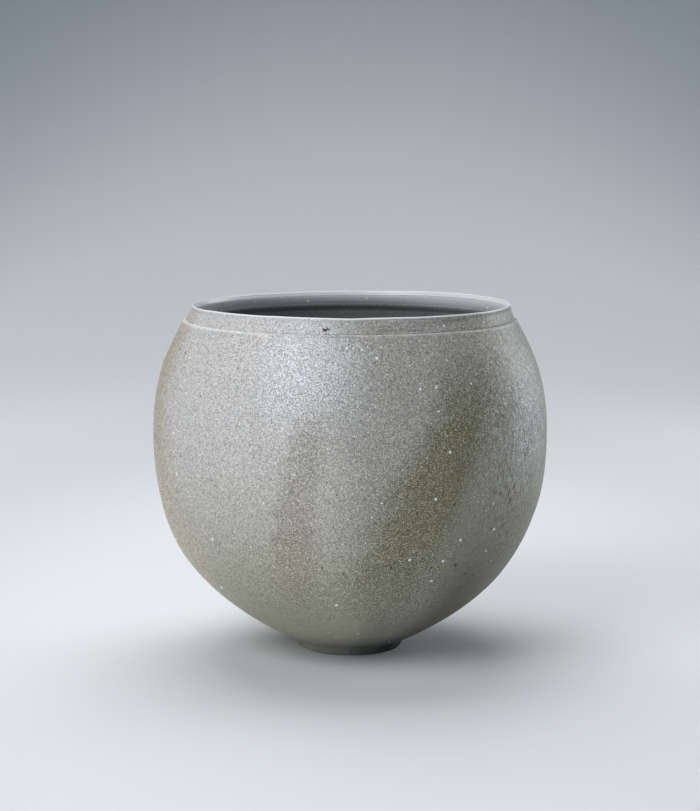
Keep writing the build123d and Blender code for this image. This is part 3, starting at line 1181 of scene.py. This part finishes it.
class JAR_OT_foot(bpy.types.Operator):
    """Turn the foot ring that the jar stands on"""

    bl_idname = "jar.foot"
    bl_label = "Turn the Foot"

    def execute(self, context):
        turn_piece(context, "jar_foot", "foot_ring", foot_outline, "Foot Clay")
        return {"FINISHED"}


class JAR_OT_bowls(bpy.types.Operator):
    """Turn the two bowls that meet at the belly"""

    bl_idname = "jar.bowls"
    bl_label = "Turn the Bowls"

    def execute(self, context):
        turn_piece(context, "jar_lower_bowl", "lower_bowl", lower_bowl_outline, "Ash Crust")
        turn_piece(context, "jar_upper_bowl", "upper_bowl", upper_bowl_outline, "Ash Crust")
        return {"FINISHED"}


class JAR_OT_slips(bpy.types.Operator):
    """Lay the films of slip in the three luted joints"""

    bl_idname = "jar.slips"
    bl_label = "Lay the Slip"

    def execute(self, context):
        turn_piece(context, "jar_foot_slip", "foot_slip", foot_slip_outline, "Luting Slip")
        turn_piece(context, "jar_belly_slip", "belly_slip", belly_slip_outline, "Luting Slip")
        turn_piece(context, "jar_collar_slip", "collar_slip", collar_slip_outline, "Luting Slip")
        return {"FINISHED"}


class JAR_OT_collar(bpy.types.Operator):
    """Turn the low collar on the shoulder"""

    bl_idname = "jar.collar"
    bl_label = "Turn the Collar"

    def execute(self, context):
        turn_piece(context, "jar_collar", "collar", collar_outline, "Collar Crust")
        return {"FINISHED"}


class JAR_OT_lip(bpy.types.Operator):
    """Turn the thin, uneven lip"""

    bl_idname = "jar.lip"
    bl_label = "Turn the Lip"

    def execute(self, context):
        turn_piece(context, "jar_lip", "lip", lip_outline, "Worn Lip With Painted Highlight")
        return {"FINISHED"}


class JAR_OT_grains(bpy.types.Operator):
    """Set white feldspar grains, dark iron spots and gouges into the wall"""

    bl_idname = "jar.grains"
    bl_label = "Set the Grains"

    def execute(self, context):
        scene = context.scene
        colours = scene.clay_colours
        white = feldspar_grains(scene.jar_shape, scene.clay_surface)
        dark = iron_grains(scene.jar_shape, scene.clay_surface)
        set_grains(context, "jar_feldspar", white, mineral("Feldspar", colours.feldspar))
        set_grains(context, "jar_iron", dark, mineral("Iron", colours.iron))
        return {"FINISHED"}


# Studio

PAPER_FLAT = 1.2
PAPER_RADIUS = 4.4
PAPER_TOP = 5.0
PAPER_STEEPNESS = 4
PAPER_STEPS = 40
PAPER_SEGMENTS = 128
PAPER_PALE = 2.75
PAPER_DARK = 3.6
# Painted light: the pale part reaches less far to the sides, a pool of light behind the jar.
PAPER_LIGHT_POOL_SQUEEZE = 2
# Painted shade: a soft darker ring where the paper starts to rise.
PAPER_SHADE_RING = 1.35
PAPER_SHADE_RING_REACH = 0.75
PAPER_SHADE_RING_TONE = 0.11
PAPER_ROUGHNESS = 0.85
TOOTH_SIZE = 2 * MM
TOOTH_DEPTH = 0.05 * MM
TOOTH_STRENGTH = 0.3
CAMERA_PLACE = Vector((-0.00015, -2.2, 0.5495))
JAR_MIDDLE = Vector((0.0, 0.0, 0.19))
Softbox = namedtuple("Softbox", "place size spread")
KEY = Softbox(Vector((-1.55, -1.8, 1.85)), 1.8, HALF_TURN)
BACK = Softbox(Vector((-0.2, 1.0, 2.3)), 2.2, HALF_TURN)
RIM = Softbox(Vector((2.0, 1.3, 0.8)), 1.2, 100 * DEGREE)
COOL_WHITE = (0.95, 0.975, 1.0)


def paper_material(colours):
    """Paper with a faint tooth, darker up the wall, with a painted pool of light behind the jar and
    painted shade in a soft ring where it starts to rise.
    """
    material, graph = new_material("Studio Paper")
    place = graph.field("ShaderNodeTexCoord", "Object")
    x, y, _ = graph.separate(place)
    aside = x * PAPER_LIGHT_POOL_SQUEEZE
    from_jar = graph.math("SQRT", aside * aside + y * y)
    far = graph.rise(from_jar, PAPER_PALE, PAPER_DARK)
    colour = graph.mix(far, tone(colours.paper_floor), tone(colours.paper_wall))
    ring = graph.band(from_jar - PAPER_SHADE_RING, 0.0, PAPER_SHADE_RING_REACH)
    colour = graph.scaled(colour, 1.0 - ring * PAPER_SHADE_RING_TONE)
    tooth = {"Distance": TOOTH_DEPTH, "Strength": TOOTH_STRENGTH}
    tooth["Height"] = graph.noise(place, TOOTH_SIZE)
    bump = graph.field("ShaderNodeBump", "Normal", tooth)
    skin = {"Base Color": colour, "Roughness": PAPER_ROUGHNESS, "Normal": bump}
    return finished(graph, material, skin)


def paper_sweep(context):
    """A round floor that rises ever more steeply on every side, so that no edge shows."""
    corners = []
    for step in range(PAPER_STEPS + 1):
        way = step / PAPER_STEPS
        radius = PAPER_FLAT + (PAPER_RADIUS - PAPER_FLAT) * way
        height = PAPER_TOP * way**PAPER_STEEPNESS
        for i in range(PAPER_SEGMENTS):
            turn = FULL_TURN * i / PAPER_SEGMENTS
            corners.append((radius * math.cos(turn), radius * math.sin(turn), height))
    faces = [tuple(range(PAPER_SEGMENTS))]
    for ring in range(PAPER_STEPS):
        for i in range(PAPER_SEGMENTS):
            here = ring * PAPER_SEGMENTS + i
            beside = ring * PAPER_SEGMENTS + (i + 1) % PAPER_SEGMENTS
            faces.append((here + PAPER_SEGMENTS, beside + PAPER_SEGMENTS, beside, here))
    mesh = bpy.data.meshes.new("studio_paper")
    mesh.from_pydata(corners, [], faces)
    mesh.shade_smooth()
    mesh.materials.append(paper_material(context.scene.clay_colours))
    paper = bpy.data.objects.new("studio_paper", mesh)
    context.scene.collection.objects.link(paper)


def soft_light(context, name, box, watts):
    """A square softbox that faces the jar and stays out of the picture."""
    light = bpy.data.lights.new(name, "AREA")
    light.size = box.size
    light.energy = watts
    light.spread = box.spread
    light.color = COOL_WHITE
    lamp = bpy.data.objects.new(name, light)
    lamp.location = box.place
    lamp.rotation_euler = (JAR_MIDDLE - box.place).to_track_quat("-Z", "Y").to_euler()
    lamp.visible_camera = False
    context.scene.collection.objects.link(lamp)


def hang_lights(context):
    studio = context.scene.studio
    soft_light(context, "key_light", KEY, studio.key_power)
    soft_light(context, "back_light", BACK, studio.back_power)
    soft_light(context, "rim_light", RIM, studio.rim_power)
    world = bpy.data.worlds.new("studio_air")
    world.use_nodes = True
    background = world.node_tree.nodes["Background"]
    background.inputs["Color"].default_value = tone(COOL_WHITE)
    background.inputs["Strength"].default_value = studio.ambient
    context.scene.world = world


def place_camera(context):
    studio = context.scene.studio
    view = bpy.data.cameras.new("camera")
    view.lens = studio.lens
    camera = bpy.data.objects.new("camera", view)
    camera.location = CAMERA_PLACE
    camera.rotation_euler = Euler((UPRIGHT - studio.camera_pitch, 0.0, 0.0))
    context.scene.collection.objects.link(camera)
    context.scene.camera = camera


class JAR_OT_stage(bpy.types.Operator):
    """Set the paper floor, the lights and the camera"""

    bl_idname = "jar.stage"
    bl_label = "Set the Stage"

    def execute(self, context):
        paper_sweep(context)
        hang_lights(context)
        place_camera(context)
        context.scene.view_settings.view_transform = "Standard"
        return {"FINISHED"}


class JAR_PT_panel(bpy.types.Panel):
    """Lists the steps and the settings"""

    bl_idname = "JAR_PT_panel"
    bl_label = "Stoneware Jar"
    bl_space_type = "VIEW_3D"
    bl_region_type = "UI"
    bl_category = "Jar"

    def draw(self, context):
        for step in STEPS:
            self.layout.operator(step.bl_idname)
        for setting in SETTINGS:
            group = getattr(context.scene, setting)
            for name in group.bl_rna.properties.keys():
                if name not in ("name", "rna_type"):
                    self.layout.prop(group, name)


SETTINGS = {
    "jar_shape": JarShape,
    "clay_surface": ClaySurface,
    "clay_colours": ClayColours,
    "studio": Studio,
}
STEPS = (
    JAR_OT_foot,
    JAR_OT_bowls,
    JAR_OT_slips,
    JAR_OT_collar,
    JAR_OT_lip,
    JAR_OT_grains,
    JAR_OT_stage,
)


def register():
    for kind in (*SETTINGS.values(), *STEPS, JAR_PT_panel):
        bpy.utils.register_class(kind)
    for name, kind in SETTINGS.items():
        setattr(bpy.types.Scene, name, PointerProperty(type=kind))


def unregister():
    for name in SETTINGS:
        delattr(bpy.types.Scene, name)
    for kind in (JAR_PT_panel, *reversed(STEPS), *SETTINGS.values()):
        bpy.utils.unregister_class(kind)


def main():
    register()
    bpy.ops.jar.foot()
    bpy.ops.jar.bowls()
    bpy.ops.jar.slips()
    bpy.ops.jar.collar()
    bpy.ops.jar.lip()
    bpy.ops.jar.grains()
    bpy.ops.jar.stage()


if __name__ == "__main__":
    main()
